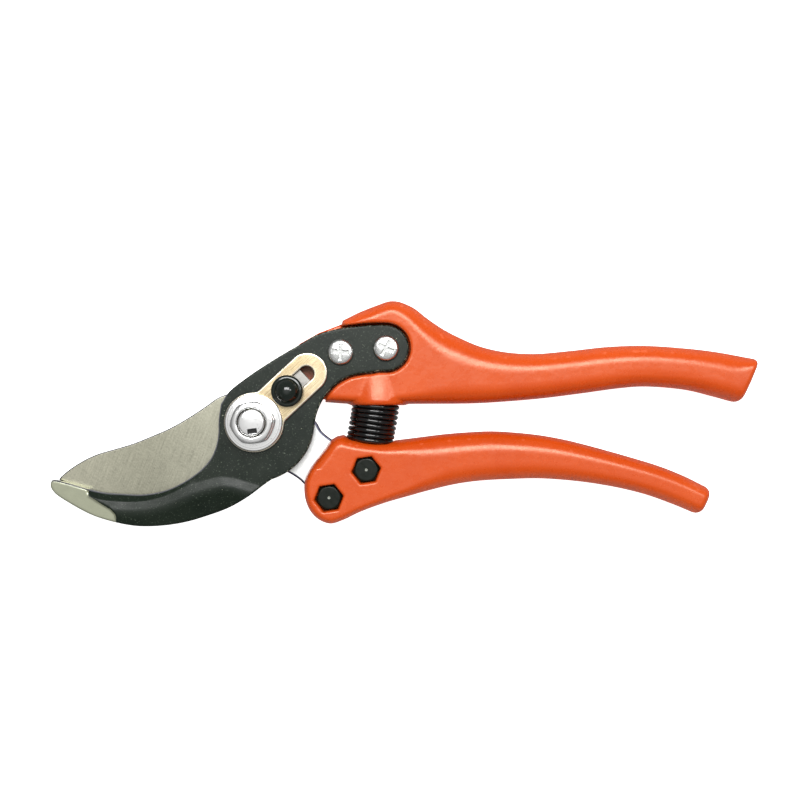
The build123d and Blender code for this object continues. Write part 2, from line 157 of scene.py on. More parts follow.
def turned(x, y, place, angle):
    """Coordinates about a place, turned by an angle in radians."""
    u, v = x - place[0], y - place[1]
    return u * math.cos(angle) + v * math.sin(angle), v * math.cos(angle) - u * math.sin(angle)


def hexagon(x, y, place, flats, turn):
    """A hexagonal column that measures flats across, with a corner at turn degrees."""
    sides = [turned(x, y, place, math.radians(turn + 30 + 60 * side))[0] for side in range(6)]
    return np.maximum.reduce(sides) - flats / 2


def bar(x, y, place, angle, length, width):
    """A square-ended column along an angle in radians."""
    u, v = turned(x, y, place, angle)
    return np.maximum(np.abs(u) - length / 2, np.abs(v) - width / 2)


def track(x, y, start, end, angle, radius):
    """A round-ended column between two distances from the pivot, along an angle."""
    u, v = turned(x, y, (0, 0), angle)
    return np.hypot(u - np.clip(u, start, end), v) - radius


# ---- outlines ------------------------------------------------------------------------------
def curve(points, step=0.5):
    """A smooth line through a few points, as a centripetal Catmull-Rom spline."""
    points = np.array(points, float)
    before, after = 2 * points[0] - points[1], 2 * points[-1] - points[-2]
    knots = np.vstack([before, points, after])
    line = []
    for a, b, c, d in zip(knots, knots[1:], knots[2:], knots[3:]):
        ta = 0.0
        tb = ta + math.dist(a, b) ** 0.5
        tc = tb + math.dist(b, c) ** 0.5
        td = tc + math.dist(c, d) ** 0.5
        count = max(2, math.ceil(math.dist(b, c) / step))
        t = np.linspace(tb, tc, count, endpoint=False)[:, None]
        ab = (a * (tb - t) + b * (t - ta)) / (tb - ta)
        bc = (b * (tc - t) + c * (t - tb)) / (tc - tb)
        cd = (c * (td - t) + d * (t - tc)) / (td - tc)
        abc = (ab * (tc - t) + bc * (t - ta)) / (tc - ta)
        bcd = (bc * (td - t) + cd * (t - tb)) / (td - tb)
        line.append((abc * (tc - t) + bcd * (t - tb)) / (tc - tb))
    return np.vstack([*line, points[-1:]])


def arc(place, radius, start, end, count=24):
    """Points of an arc between two angles in degrees."""
    angles = np.radians(np.linspace(start, end, count))
    return np.stack([place[0] + radius * np.cos(angles), place[1] + radius * np.sin(angles)], 1)


def smoothed(grid, passes):
    """A grid with each value mixed with its neighbours, many times over."""
    for _ in range(passes):
        wide = np.pad(grid, 1, mode="edge")
        grid = (wide[:-2, 1:-1] + wide[2:, 1:-1] + wide[1:-1, :-2] + wide[1:-1, 2:]) / 8 + grid / 2
    return grid


class Outline:
    """A closed outline as a signed distance, negative inside, kept on a fine grid."""

    cell = 0.25
    margin = 5.0
    sharp_rim, blend_width = 0.6, 2.4

    def __init__(self, *strokes, soften=0):
        """Measures the distance to a loop of strokes, and can smooth its creases well inside."""
        loop = np.vstack(strokes)
        self.low = loop.min(0) - self.margin
        size = np.ceil((loop.max(0) + self.margin - self.low) / self.cell).astype(int) + 1
        self.x = self.low[0] + self.cell * np.arange(size[0])
        self.y = self.low[1] + self.cell * np.arange(size[1])
        x, y = self.x[:, None], self.y[None, :]
        nearest = np.full(size, np.inf)
        inside = np.zeros(size, bool)
        for a, b in zip(loop, np.roll(loop, -1, 0)):
            along = b - a
            length = along @ along
            if length < 1e-9:
                continue
            t = np.clip(((x - a[0]) * along[0] + (y - a[1]) * along[1]) / length, 0, 1)
            nearest = np.minimum(nearest, (x - a[0] - t * along[0]) ** 2 + (y - a[1] - t * along[1]) ** 2)
            if a[1] != b[1]:
                crosses = (a[1] > y) != (b[1] > y)
                inside ^= crosses & (x < a[0] + (y - a[1]) * along[0] / along[1])
        self.grid = np.sqrt(nearest) * np.where(inside, -1, 1)
        if soften:
            share = np.clip((-self.grid - self.sharp_rim) / self.blend_width, 0, 1)
            self.grid += (smoothed(self.grid, soften) - self.grid) * share * share * (3 - 2 * share)

    def __call__(self, x, y):
        """Distance at places, read between the grid's points."""
        u = np.clip((x - self.low[0]) / self.cell, 0, len(self.x) - 1.001)
        v = np.clip((y - self.low[1]) / self.cell, 0, len(self.y) - 1.001)
        i, j = u.astype(int), v.astype(int)
        u, v = u - i, v - j
        grid = self.grid
        near = grid[i, j] * (1 - v) + grid[i, j + 1] * v
        far = grid[i + 1, j] * (1 - v) + grid[i + 1, j + 1] * v
        return near * (1 - u) + far * u

    def depth(self, x):
        """How far inside the outline its middle line lies, at each x."""
        return np.interp(x, self.x, smoothed(-self.grid.min(1)[None, :], 60)[0])


# ---- meshes --------------------------------------------------------------------------------
def surface_net(field, low, high, cell):
    """Vertices and faces where a field is zero, one vertex in each cell that the surface crosses."""
    low = np.array(low, float)
    size = np.ceil((np.array(high) - low) / cell).astype(int) + 1
    x, y, z = (low[a] + cell * np.arange(size[a]) for a in range(3))
    values = field(x[:, None, None], y[None, :, None], z[None, None, :])
    values = np.ascontiguousarray(np.broadcast_to(values, size))
    inside = values < 0
    cells = size - 1
    total, count, faces = np.zeros((cells.prod(), 3)), np.zeros(cells.prod()), []
    for axis in range(3):
        u, v = (axis + 1) % 3, (axis + 2) % 3
        first = [slice(None)] * 3
        second = [slice(None)] * 3
        first[axis], second[axis] = slice(None, -1), slice(1, None)
        start, end = inside[tuple(first)], inside[tuple(second)]
        edge = np.argwhere(start != end)
        edge = edge[((edge[:, [u, v]] > 0) & (edge[:, [u, v]] < size[[u, v]] - 1)).all(1)]
        index = tuple(edge.T)
        a, b = values[tuple(first)][index], values[tuple(second)][index]
        point = edge.astype(float)
        point[:, axis] += a / (a - b)
        around = []
        for du, dv in ((1, 1), (0, 1), (0, 0), (1, 0)):
            corner = edge.copy()
            corner[:, u] -= du
            corner[:, v] -= dv
            number = np.ravel_multi_index(tuple(corner.T), cells)
            around.append(number)
            count += np.bincount(number, minlength=len(count))
            for k in range(3):
                total[:, k] += np.bincount(number, point[:, k], minlength=len(count))
        quads = np.stack(around, 1)
        outward = start[index]
        faces.append(np.where(outward[:, None], quads, quads[:, ::-1]))
    used = count > 0
    renumber = np.cumsum(used) - 1
    vertices = low + cell * total[used] / count[used, None]
    return vertices, renumber[np.vstack(faces)]


def settle(field, vertices, cell, rounds=3, probe=0.02):
    """Moves vertices along the field's slope onto its surface."""
    for _ in range(rounds):
        value = field(*vertices.T)
        slope = np.empty_like(vertices)
        for axis in range(3):
            shifted = vertices.copy()
            shifted[:, axis] += probe
            slope[:, axis] = (field(*shifted.T) - value) / probe
        steep = np.maximum((slope ** 2).sum(1), 0.05)
        move = slope * (value / steep)[:, None]
        length = np.maximum(np.linalg.norm(move, axis=1), 1e-9)
        vertices = vertices - move * np.minimum(1, 0.5 * cell / length)[:, None]
    return vertices


def make_piece(name, vertices, faces, finish, body, slot, *nodes):
    """A smooth piece that rides on a body and stands for CAD nodes. Vertices are in millimetres."""
    mesh = bpy.data.meshes.new(name)
    mesh.from_pydata((np.asarray(vertices) * MM).tolist(), [], np.asarray(faces).tolist())
    mesh.shade_smooth()
    mesh.materials.append(finish)
    piece = bpy.data.objects.new(name, mesh)
    bpy.context.scene.collection.objects.link(piece)
    if body:
        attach(piece, body)
    if nodes:
        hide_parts(*nodes)
    return piece


def field_piece(name, field, low, high, cell, finish, body, slot, *nodes):
    """A piece whose surface is where a field is zero."""
    vertices, faces = surface_net(field, low, high, cell)
    return make_piece(name, settle(field, vertices, cell), faces, finish, body, slot, *nodes)


def write_measure(piece, name, measure):
    """Stores a measure of each vertex, worked out in millimetres, for the piece's finish to read."""
    points = np.array([v.co for v in piece.data.vertices]) / MM
    values = np.broadcast_to(measure(*points.T), len(points))
    store = piece.data.attributes.new(name, "FLOAT", "POINT")
    store.data.foreach_set("value", values.astype(np.float32))


# ---- finishes ------------------------------------------------------------------------------
class Finish:
    """A Principled surface and the nodes that vary it, measured in millimetres of the piece's own space."""

    def __init__(self, name, colour, metallic, roughness, **sockets):
        """A plain surface to start from. Further sockets are named with _ for each space."""
        self.material = bpy.data.materials.new(name)
        self.material.use_nodes = True
        self.tree = self.material.node_tree
        self.shader = self.tree.nodes["Principled BSDF"]
        self.set("Base Color", (*colour, 1))
        self.set("Metallic", metallic)
        self.set("Roughness", roughness)
        for socket, value in sockets.items():
            self.set(socket.replace("_", " "), value)
        place = self.node("TexCoord", output="Object")
        self.place = self.node("VectorMath", {0: place, 1: (1 / MM,) * 3}, operation="MULTIPLY")

    def set(self, socket, value):
        """Gives the shader's socket a value, or a link."""
        if isinstance(value, bpy.types.NodeSocket):
            self.tree.links.new(value, self.shader.inputs[socket])
        else:
            self.shader.inputs[socket].default_value = value

    def node(self, kind, inputs=(), output=0, **settings):
        """Adds a shader node with its inputs set or linked, and gives one of its outputs."""
        made = self.tree.nodes.new("ShaderNode" + kind)
        for key, value in settings.items():
            setattr(made, key, value)
        for key, value in dict(inputs).items():
            if isinstance(value, bpy.types.NodeSocket):
                self.tree.links.new(value, made.inputs[key])
            else:
                made.inputs[key].default_value = value
        return made.outputs[output]

    def noise(self, size, detail=2.0, place=None):
        """Noise whose lumps are about size millimetres across."""
        inputs = {"Vector": place or self.place, "Scale": 1 / size, "Detail": detail}
        return self.node("TexNoise", inputs)

    def stretched(self, angle, along, across):
        """Places stretched along an angle in degrees, so that noise of size 1 becomes streaks."""
        inputs = {"Vector": self.place, "Rotation": (0, 0, math.radians(angle)),
                  "Scale": (along, across, across)}
        return self.node("Mapping", inputs, vector_type="TEXTURE")

    def spread(self, value, low, high, to_low=0.0, to_high=1.0):
        """A value's range from low to high, drawn out to another range."""
        inputs = {"Value": value, "From Min": low, "From Max": high,
                  "To Min": to_low, "To Max": to_high}
        return self.node("MapRange", inputs)

    def times(self, a, b):
        """The product of two values."""
        return self.node("Math", {0: a, 1: b}, operation="MULTIPLY")

    def plus(self, a, b):
        """The sum of two values."""
        return self.node("Math", {0: a, 1: b}, operation="ADD")

    def mix(self, share, a, b):
        """A colour between two others."""
        a, b = (c if isinstance(c, bpy.types.NodeSocket) else (*c, 1) for c in (a, b))
        return self.node("Mix", {0: share, 6: a, 7: b}, output=2, data_type="RGBA")

    def measure(self, name):
        """A measure stored on the piece's vertices."""
        return self.node("Attribute", output="Fac", attribute_name=name)

    def bump(self, height, depth, normal=None):
        """A bump as deep as depth, in millimetres, where the height goes from 0 to 1."""
        inputs = {"Height": height, "Distance": depth * MM, "Strength": 1.0}
        if normal:
            inputs["Normal"] = normal
        return self.node("Bump", inputs)


def orange_coat():
    """Powder coat: a fine orange peel, a faint speckle, slightly paler worn edges, and painted shade where the
    handle shows through the catch's slot.
    """
    made = Finish("orange_powder_coat", (0.59, 0.063, 0.003), 0.0, 0.3,
                  Specular_IOR_Level=0.62, Specular_Tint=(1.0, 0.9, 0.7, 1.0))
    cloud = made.spread(made.noise(14.0), 0.3, 0.7)
    colour = made.mix(cloud, (0.57, 0.058, 0.002), (0.615, 0.070, 0.004))
    speckle = made.spread(made.noise(0.35, 1.0), 0.62, 0.74)
    colour = made.mix(made.times(speckle, 0.35), colour, (0.74, 0.14, 0.04))
    grit = made.spread(made.noise(0.5, 1.0), 0.66, 0.74)
    colour = made.mix(made.times(grit, 0.15), colour, (0.5, 0.045, 0.008))
    edge = made.spread(made.node("NewGeometry", output="Pointiness"), 0.53, 0.6)
    colour = made.mix(made.times(edge, 0.3), colour, (0.8, 0.17, 0.07))
    # Painted shade: where the handle's tongue shows through the catch's slot, its colour is darkened to a deep
    # red.
    made.set("Base Color", made.mix(made.times(made.measure("painted_slot_shade"), 0.8), colour, (0.12, 0.008, 0.004)))
    made.set("Roughness", made.spread(made.noise(2.5, 3.0), 0.3, 0.7, 0.23, 0.33))
    peel = made.bump(made.noise(1.1, 1.0), 0.03)
    made.set("Normal", made.bump(made.noise(0.32, 1.0), 0.014, peel))
    return made.material


def black_steel():
    """Painted steel, with chips and rubbed edges that show the metal, and a bare ground tip."""
    made = Finish("black_painted_steel", (0.012, 0.02, 0.013), 0.0, 0.34, Specular_IOR_Level=0.26)
    cloud = made.spread(made.noise(9.0, 3.0), 0.3, 0.7)
    paint = made.mix(cloud, (0.004, 0.009, 0.005), (0.009, 0.015, 0.009))
    dust = made.spread(made.noise(0.4, 2.0), 0.63, 0.74)
    paint = made.mix(made.times(dust, 0.6), paint, (0.13, 0.16, 0.12))
    edge = made.spread(made.measure("rim"), 0.55, 0.1)
    ragged = made.spread(made.noise(0.7, 3.0), 0.54, 0.6)
    worn = made.times(edge, ragged)
    chips = made.spread(made.noise(1.3, 4.0), 0.735, 0.75)
    jagged = made.times(made.noise(1.2, 3.0), 0.7)
    bare = made.spread(made.plus(made.measure("bare"), jagged), 0.41, 0.29)
    streaks = made.noise(1.0, 3.0, made.stretched(60, 5.0, 0.12))
    metal = made.mix(streaks, (0.48, 0.50, 0.37), (0.58, 0.60, 0.44))
    steel = made.node("Math", {0: made.plus(worn, chips), 1: bare}, operation="MAXIMUM")
    colour = made.mix(steel, paint, metal)
    # Painted highlight: a thin violet-grey line along the jaw's inner edge, where that edge catches the light.
    painted_lip_highlight = made.spread(made.measure("painted_lip_highlight"), 0.5, 0.2)
    made.set("Base Color", made.mix(painted_lip_highlight, colour, (0.13, 0.13, 0.15)))
    made.set("Metallic", made.spread(steel, 0.2, 0.8, 0.0, 0.85))
    made.set("Roughness", made.spread(made.noise(3.0, 3.0), 0.3, 0.7, 0.3, 0.42))
    grain = made.bump(made.noise(0.45, 2.0), 0.02)
    made.set("Normal", made.bump(steel, -0.05, grain))
    return made.material


def ground_steel():
    """Ground blade steel: fine grinding lines across the blade, a tone darker in the middle and paler towards
    the tip and the pivot, a near-white neck, and painted shade along its outline.
    """
    made = Finish("ground_blade_steel", (0.45, 0.44, 0.36), 1.0, 0.34)
    fine = made.noise(1.0, 3.0, made.stretched(68, 7.0, 0.22))
    coarse = made.noise(1.0, 3.0, made.stretched(-35, 14.0, 0.5))
    speckle = made.noise(0.5, 2.0)
    lines = made.plus(made.times(fine, 0.5), made.plus(made.times(coarse, 0.15), made.times(speckle, 0.35)))
    lines = made.spread(lines, 0.34, 0.66)
    # The tone is darker in the blade's middle and paler towards the tip and the pivot.
    tip = made.spread(made.measure("reach"), -32, -56)
    low = made.mix(tip, (0.25, 0.246, 0.19), (0.34, 0.335, 0.262))
    middle_to_tip_tone = made.mix(lines, low, made.mix(tip, (0.34, 0.332, 0.257), (0.46, 0.445, 0.347)))
    pale = made.mix(lines, (0.3, 0.296, 0.232), (0.395, 0.386, 0.309))
    reach = made.spread(made.measure("reach"), -35, -5)
    colour = made.mix(reach, middle_to_tip_tone, pale)
    neck = made.spread(made.measure("reach"), 5, 13)
    colour = made.mix(neck, colour, made.mix(lines, (0.74, 0.75, 0.73), (0.95, 0.95, 0.94)))
    # Painted shade: a dark blue-grey line along the blade's outline, wider along the neck, where the side walls
    # would show dark.
    reach = made.spread(made.measure("reach"), 4, 8, 0.0, 0.35)
    painted_edge_shade = made.spread(made.plus(made.measure("rim"), made.times(reach, -1.0)), 0.4, 0.2)
    made.set("Base Color", made.mix(painted_edge_shade, colour, (0.06, 0.06, 0.09)))
    made.set("Roughness", made.spread(lines, 0.0, 1.0, 0.27, 0.42))
    made.set("Normal", made.bump(lines, 0.012))
    return made.material


def gold_zinc():
    """Yellow-passivated zinc: pale gold with warmer tints, rolled lines and a painted highlight along its
    edges.
    """
    made = Finish("yellow_zinc_plate", (0.7, 0.6, 0.4), 1.0, 0.28)
    tint = made.spread(made.noise(5.0, 3.0), 0.35, 0.65)
    colour = made.mix(tint, (0.49, 0.39, 0.23), (0.66, 0.55, 0.36))
    warm = made.spread(made.noise(2.2, 2.0), 0.55, 0.75)
    colour = made.mix(made.times(warm, 0.45), colour, (0.42, 0.26, 0.15))
    # Painted highlight: the plate's edges are paled towards cream, where the chamfer catches the light.
    edge = made.spread(made.measure("rim"), 0.7, 0.2)
    made.set("Base Color", made.mix(made.times(edge, 0.7), colour, (0.93, 0.9, 0.8)))
    rolled = made.noise(1.0, 3.0, made.stretched(43, 6.0, 0.15))
    made.set("Roughness", made.spread(rolled, 0.3, 0.7, 0.2, 0.36))
    made.set("Normal", made.bump(rolled, 0.01))
    return made.material


def bright_metal(name, colour, roughness, mark_size, mark_depth):
    """Plated metal with small dents, fine scratches and darker dirt in its pores."""
    made = Finish(name, colour, 1.0, roughness)
    dirt = made.spread(made.noise(mark_size, 4.0), 0.6, 0.75)
    shade = tuple(0.55 * c for c in colour)
    rings = made.node("CombineXYZ", {0: made.measure("turning")})
    ring = made.spread(made.noise(0.35, 3.0, rings), 0.52, 0.6)
    ring = made.times(ring, made.spread(made.measure("turning"), 0.5, 1.5, 0.0, 0.5))
    pale = made.mix(made.times(dirt, 0.6), colour, shade)
    pale = made.mix(ring, pale, shade)
    # Painted shade: the screws' cross recesses are darkened part way to black. The pivot bolt's mark is filled
    # near-black.
    mark = made.measure("mark")
    made.set("Base Color", made.mix(mark, pale, (0.004, 0.004, 0.004)))
    made.set("Metallic", made.spread(mark, 0.0, 1.0, 1.0, 0.0))
    scratch = made.noise(1.0, 4.0, made.stretched(25, 4.0, 0.09))
    made.set("Roughness", made.spread(scratch, 0.3, 0.7, 0.7 * roughness, 1.5 * roughness))
    dents = made.bump(made.noise(mark_size, 2.0), mark_depth)
    made.set("Normal", made.bump(scratch, 0.006, dents))
    return made.material


def glossy_black(name, colour, roughness, gloss):
    """Gloss black over steel or plastic, with faint marks and softer edges."""
    made = Finish(name, colour, 0.0, roughness, Specular_IOR_Level=0.2, Coat_Weight=gloss,
                  Coat_Roughness=0.1)
    dust = made.spread(made.noise(0.3, 2.0), 0.68, 0.8)
    dark = made.mix(made.times(dust, 0.25), colour, (0.12, 0.13, 0.12))
    # Pales the colour where the hexagon bolts' head dimple is marked.
    made.set("Base Color", made.mix(made.measure("pale_dimple"), dark, (0.32, 0.34, 0.3)))
    made.set("Roughness", made.spread(made.noise(1.5, 3.0), 0.3, 0.7, 0.8 * roughness, 1.5 * roughness))
    made.set("Normal", made.bump(made.noise(0.6, 2.0), 0.01))
    return made.material


orange = orange_coat()
painted = black_steel()
ground = ground_steel()
gold = gold_zinc()
chrome = bright_metal("bright_chrome", (0.86, 0.86, 0.85), 0.16, 0.9, 0.02)
zinc = bright_metal("bright_zinc", (0.88, 0.89, 0.87), 0.24, 0.5, 0.04)
plain_steel = bright_metal("plain_steel", (0.33, 0.32, 0.30), 0.34, 0.7, 0.02)
bronze = bright_metal("sintered_bronze", (0.55, 0.36, 0.18), 0.4, 0.4, 0.02)
black_oxide = glossy_black("black_oxide", (0.004, 0.007, 0.004), 0.32, 0.0)
black_enamel = glossy_black("black_spring_enamel", (0.002, 0.002, 0.002), 0.14, 0.9)
black_plastic = glossy_black("black_knob_plastic", (0.004, 0.008, 0.005), 0.18, 0.8)


# ---- hook plate ----------------------------------------------------------------------------
tail_place, tail_radius = (40.0, 22.6), 7.03
crown = [(-10.2, 5.6), (-7.9, 9.1), (-2.6, 13.4), (4.7, 18.3), (12.05, 22.7), (19.4, 26.85),
         (23.1, 27.95), (27.3, 28.8), (33.8, 29.5), (38.0, 29.7)]
throat = [(38.0, 15.6), (35.9, 15.2), (32.2, 14.8), (28.6, 13.85), (24.9, 11.7), (22.7, 9.5),
          (20.8, 7.0), (19.45, 4.4), (18.6, 1.9), (18.15, -0.4)]
belly = [(5.2, -17.4), (2.9, -19.0), (-2.6, -23.1), (-8.1, -26.2), (-13.6, -28.3),
         (-21.0, -30.5), (-28.3, -31.6), (-35.7, -31.7), (-42.1, -30.6), (-49.2, -28.5),
         (-56.6, -24.65), (-61.3, -21.4), (-62.4, -19.2), (-61.95, -17.7)]
bite = [(-61.95, -17.7), (-60.1, -17.9), (-55.8, -19.0), (-50.95, -20.4), (-46.1, -21.5),
        (-40.7, -21.9), (-34.4, -22.1), (-29.0, -21.3), (-24.7, -19.8), (-19.6, -17.0),
        (-16.1, -14.3), (-13.4, -11.2), (-11.8, -7.7), (-11.0, -3.8), (-10.9, 0.6),
        (-10.2, 5.6)]
hook_shape = Outline(curve(crown), arc(tail_place, tail_radius, 87, -87), curve(throat),
                     arc((0, 0), 18.15, -2, -72), curve(belly), curve(bite)[1:-1])
ridge = [(-75.0, -15.5), (-62.0, -18.6), (-55.0, -20.9), (-50.3, -22.6), (-46.8, -23.5),
         (-41.8, -24.0), (-36.1, -24.1), (-31.5, -23.5), (-26.9, -22.1), (-22.8, -20.3),
         (-18.7, -18.7), (-13.1, -17.1), (-10.1, -16.6), (-6.5, -16.9), (-3.5, -17.7),
         (0.5, -18.9), (8.0, -21.5)]
bevel_shape = Outline(curve(ridge), [(8.0, -55.0), (-75.0, -55.0)])
bare_shape = Outline([(-50.9, -10.0), (-50.8, -20.5), (-50.5, -22.4), (-47.5, -24.3), (-44.0, -26.3),
                      (-42.4, -27.9), (-42.1, -29.1), (-42.3, -32.0), (-42.3, -45.0), (-75.0, -45.0),
                      (-75.0, -10.0)])
plate_rounding = 0.4
facet_start, facet_angle, facet_slope, facet_drop = (-46.4, -25.4), math.radians(234.7), 0.12, -0.35
jaw_level, jaw_rise, jaw_roll, jaw_fall, inner_slope = 2.2, 0.2, 0.2, 0.42, 0.9
hook_slot_middle, hook_slot_half_length, hook_slot_rounding = 19.1, 8.1, 0.25


def hook_top(x, y):
    """Height of the plate's front: flat at the pivot, crowned along the jaw, ground flat at the tip."""
    past = bevel_shape(x, y)
    below, above = np.maximum(-past, 0), np.maximum(past, 0)
    level = np.minimum(below, jaw_level)
    rolled = np.minimum(below - level, (jaw_rise + jaw_fall) / jaw_roll)
    crowned = (level + rolled) * jaw_rise - rolled ** 2 * jaw_roll / 2 - (below - level - rolled) * jaw_fall
    inner = above * inner_slope * np.clip((-17 - x) / 8, 0, 1)
    ground = facet_drop - turned(x, y, facet_start, facet_angle)[0] * facet_slope
    share = np.clip(bare_shape(x, y) / 0.6 + 0.5, 0, 1)
    return hook_front + share * (crowned - inner) + (1 - share) * ground


def hook_field(x, y, z):
    """The hook plate, with its pivot hole and the slot for the catch."""
    edge = hook_shape(x, y)
    side = np.maximum(z - hook_top(x, y), hook_back - z)
    plate = fillet_and(edge, side, plate_rounding)
    plate = np.maximum(plate, -disc(x, y, (0, 0), pivot_radius + fit_gap))
    u, v = turned(x, y, (0, 0), slide_angle)
    slot = np.maximum(np.abs(u - hook_slot_middle) - hook_slot_half_length, np.abs(v) - slot_half_width)
    return fillet_cut(plate, slot, hook_slot_rounding)


hook = field_piece("hook_plate_forged", hook_field, (-64.5, -33.5, 7.0), (49.0, 32.0, 13.6), 0.3,
                   painted, "hook_side", "black_steel", "hook_plate")
write_measure(hook, "bare", lambda x, y, z: bare_shape(x, y))
write_measure(hook, "rim", lambda x, y, z: np.hypot(hook_shape(x, y), hook_front - z) + 0.1
              + np.clip((2 - x) / 4, 0, 1) * 0.6)
# Closeness to the jaw's inner edge, for the painted highlight along it.
write_measure(hook, "painted_lip_highlight", lambda x, y, z: np.abs(hook_shape(x, y)) + 0.05
              + 9 * ((bevel_shape(x, y) < 0) | (x > -8) | (z < hook_back + 2)))


# ---- blade ---------------------------------------------------------------------------------
heel_radius = 11.7
spine = [(-60.7, -17.55), (-59.5, -16.3), (-55.8, -13.5), (-52.2, -11.4), (-48.5, -9.8),
         (-43.0, -8.2), (-37.5, -6.5), (-32.0, -4.3), (-26.5, -1.9), (-21.0, 1.2),
         (-15.5, 4.8), (-11.8, 7.4), (-7.2, 9.2)]
neck = [(10.7, 4.8), (15.2, 2.6), (18.4, 0.0), (20.1, -2.8), (22.1, -4.6), (24.0, -5.9), (27.3, -8.9)]
tang = [(34.5, -9.8), (38.3, -13.0), (37.6, -17.0), (25.6, -26.6), (21.0, -27.3), (18.4, -24.2),
        (17.2, -21.0)]
tang_edge = [(14.9, -19.2), (13.5, -17.8), (10.8, -16.0), (8.0, -14.6)]
cutting_edge = [(-6.5, -9.8), (-12.0, -14.2), (-17.5, -18.3), (-24.0, -21.6), (-30.5, -23.3),
                (-37.0, -23.8), (-43.5, -23.2), (-50.0, -21.9), (-56.0, -19.9), (-60.7, -17.7)]
blade_shape = Outline(curve(spine), arc((0, 0), heel_radius, 126, 27), curve(neck), tang,
                      curve(tang_edge), curve(cutting_edge))
edge_line = curve(cutting_edge)
grind_shape = Outline(edge_line, [(-75.0, -12.0), (-75.0, -45.0), (10.0, -45.0), (10.0, -9.8)])
grind_width, grind_slope = 6.0, 0.45
blade_rounding, blade_bore_radius = 0.22, 5.25
notch_depth, notch_width = 4.4, 5.0


def blade_field(x, y, z):
    """The blade, ground thin behind its cutting edge, with its bore and the notch in its heel."""
    edge = blade_shape(x, y)
    grind = np.maximum(grind_width - np.abs(grind_shape(x, y)), 0) * grind_slope
    side = np.maximum(z - blade_front, blade_back + grind - z)
    blade = fillet_and(edge, side, blade_rounding)
    blade = np.maximum(blade, -disc(x, y, (0, 0), blade_bore_radius))
    notch = bar(x, y, (heel_radius * math.cos(slide_angle), heel_radius * math.sin(slide_angle)),
                slide_angle, notch_depth, notch_width)
    return np.maximum(blade, -notch)


blade = field_piece("blade_ground", blade_field, (-62.5, -29.5, 3.8), (40.0, 13.5, 8.8), 0.28,
                    ground, "blade_side", "ground_steel", "blade")
write_measure(blade, "reach", lambda x, y, z: x)
# Distance in from the outline, for the painted shade along the blade's edges.
write_measure(blade, "rim", lambda x, y, z: -blade_shape(x, y))


# ---- handles -------------------------------------------------------------------------------
tight_roll, handle_fullness = 0.65, 2.4
thinnest_half_width, width_blend = 3.0, 6.0


def handle_body(x, y, z, shape, roll, depth, fullness):
    """A cast handle: its sides swell from the outline like a superellipse, level in the middle."""
    inner = np.maximum(shape.depth(x), thinnest_half_width)
    width = (inner ** -width_blend + roll ** -width_blend) ** (-1 / width_blend)
    across = np.maximum(1 + shape(x, y) / width, 0)
    tall = np.abs(z - handle_middle) / (depth / 2)
    return width * ((across ** fullness + tall ** fullness) ** (1 / fullness) - 1)


def end_cut(x, y, top, bottom):
    """Everything past a slanted end, from its upper to its lower corner."""
    angle = math.atan2(top[1] - bottom[1], top[0] - bottom[0]) - math.pi / 2
    return turned(x, y, top, angle)[0]


upper_top = [(26.7, 31.2), (32.2, 33.9), (37.7, 36.05), (40.4, 37.0), (42.2, 37.2), (44.4, 36.9),
             (48.7, 35.0), (52.4, 32.1), (57.9, 28.4), (63.4, 25.6), (68.9, 23.3), (76.3, 21.6),
             (85.4, 21.0), (96.5, 21.9), (107.5, 23.1), (118.5, 23.5), (129.5, 22.9),
             (140.5, 21.7), (151.0, 19.8), (158.0, 18.4)]
upper_bottom = [(150.0, 5.4), (146.0, 6.4), (140.5, 7.9), (133.2, 9.7), (125.8, 10.6),
                (118.5, 10.9), (111.1, 10.3), (100.1, 8.8), (89.1, 7.4), (78.1, 6.4),
                (67.1, 5.75), (50.6, 5.6), (37.0, 5.5), (28.9, 5.6), (21.3, 6.1)]
upper_shape = Outline(curve(upper_top), curve(upper_bottom), [(22.0, 16.0)], soften=50)
tongue_shape = Outline([(29.0, 31.0), (26.5, 30.2), (19.3, 27.45), (13.2, 24.0), (12.9, 17.0),
                        (13.6, 9.2), (20.0, 6.9), (29.0, 8.0)])
boss_middle, boss_radius, boss_foot = 37.6, 7.75, 5.2
boss_top, boss_rounding, boss_swell, swell_start = 18.0, 1.6, 0.17, 15.0
socket_radius, socket_floor = 7.35, 11.3
plate_pocket_gap, tongue_back = 0.55, 1.4
relief_end, relief_half_width = 20.2, 2.7
upper_end = (153.3, 17.1), (149.4, 8.2)


def upper_roll(x, y):
    """How far in from the outline the handle's face rounds over, more gently along its top."""
    crest = y > np.interp(x, [50, 60, 80, 100, 150], [18.8, 16.3, 14.0, 15.4, 13.3])
    return np.interp(x, [42, 50, 60], [4.2, 6.2, 9.5]) * np.where(crest, 1.0, tight_roll)


